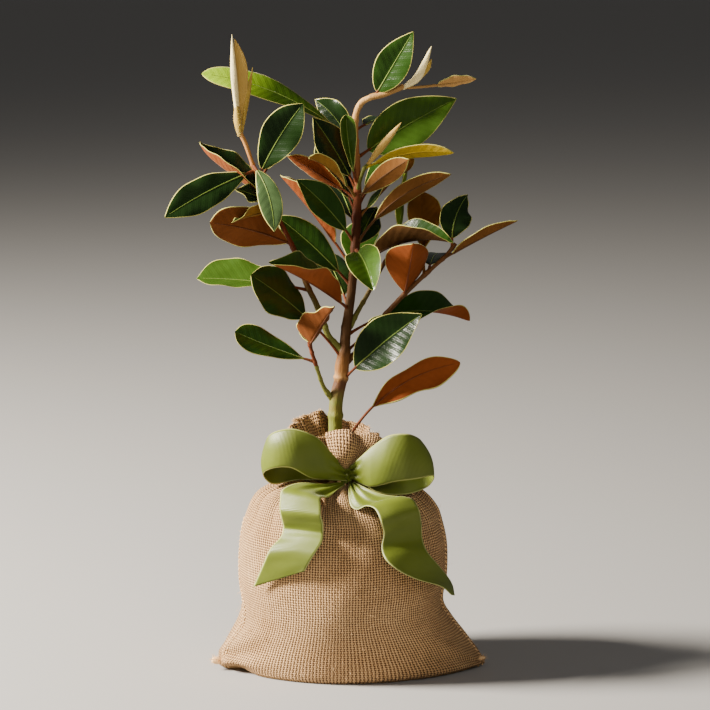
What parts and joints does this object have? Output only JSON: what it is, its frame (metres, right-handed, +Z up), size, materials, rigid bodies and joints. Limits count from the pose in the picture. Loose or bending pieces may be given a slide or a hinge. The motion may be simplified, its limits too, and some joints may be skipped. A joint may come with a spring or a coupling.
{
  "type": "potted broadleaf sapling",
  "caption": "Young evergreen magnolia-like sapling standing on a root ball in a jute sack, tied at the neck with a wide satin ribbon bow.",
  "frame": {"origin": "middle of the flat underside of the sack, on the surface it stands on", "axes": "+Z up along the trunk; +X to the right and -Y to the front, where the bow is"},
  "size_m": [0.3181, 0.1791, 0.5929],
  "materials": {
    "jute": "coarse open plain weave, matt, natural tan",
    "ribbon": "olive green satin with fine ribs and woven edges",
    "bark": "thin smooth young bark, green at the foot and rusty brown above, with pale leaf scars",
    "foliage": "leathery leaves, glossy dark green above and rust felt below, with thin pale margins"
  },
  "bodies": {
    "root": {"bough_left": "bark", "bough_low_left": "bark", "bough_right": "bark", "bough_right_low": "bark", "bow_loop_left": "ribbon", "bow_loop_right": "ribbon", "foliage_left": "foliage", "foliage_low_left": "foliage", "foliage_right": "foliage", "foliage_right_low": "foliage", "foliage_tip": "foliage", "leaf_01_mouth_right": "foliage", "leaf_02_front_right": "foliage", "leaf_03_back_right": "foliage", "leaf_04_left_round": "foliage", "leaf_05_left_rust": "foliage", "leaf_06_front_folded": "foliage", "leaf_07_left_dark": "foliage", "leaf_08_left_split": "foliage", "leaf_09_left_upper": "foliage", "leaf_10_right_arched": "foliage", "leaf_11_right_brown": "foliage", "leaf_12_back_dark": "foliage", "leaf_13_right_narrow": "foliage", "leaf_14_left_rust_upper": "foliage", "leaf_15_left_curl": "foliage", "leaf_16_right_rust": "foliage", "leaf_17_front_upright": "foliage", "leaf_18_left_dark_upper": "foliage", "leaf_19_right_glossy": "foliage", "leaf_20_left_round_top": "foliage", "leaf_21_left_sweep": "foliage", "leaf_22_back": "foliage", "leaf_23_back": "foliage", "leaf_24_back": "foliage", "leaf_25_back": "foliage", "leaf_26_back": "foliage", "leaf_27_back": "foliage", "leaf_28_back": "foliage", "leaf_29_back": "foliage", "leaf_30_left_far": "foliage", "ribbon_band": "ribbon", "ribbon_knot": "ribbon", "ribbon_tail_left": "ribbon", "ribbon_tail_right": "ribbon", "root_ball": "jute", "sack_collar": "jute", "side_shoot": "foliage", "trunk": "bark"}
  },
  "joints": []
}
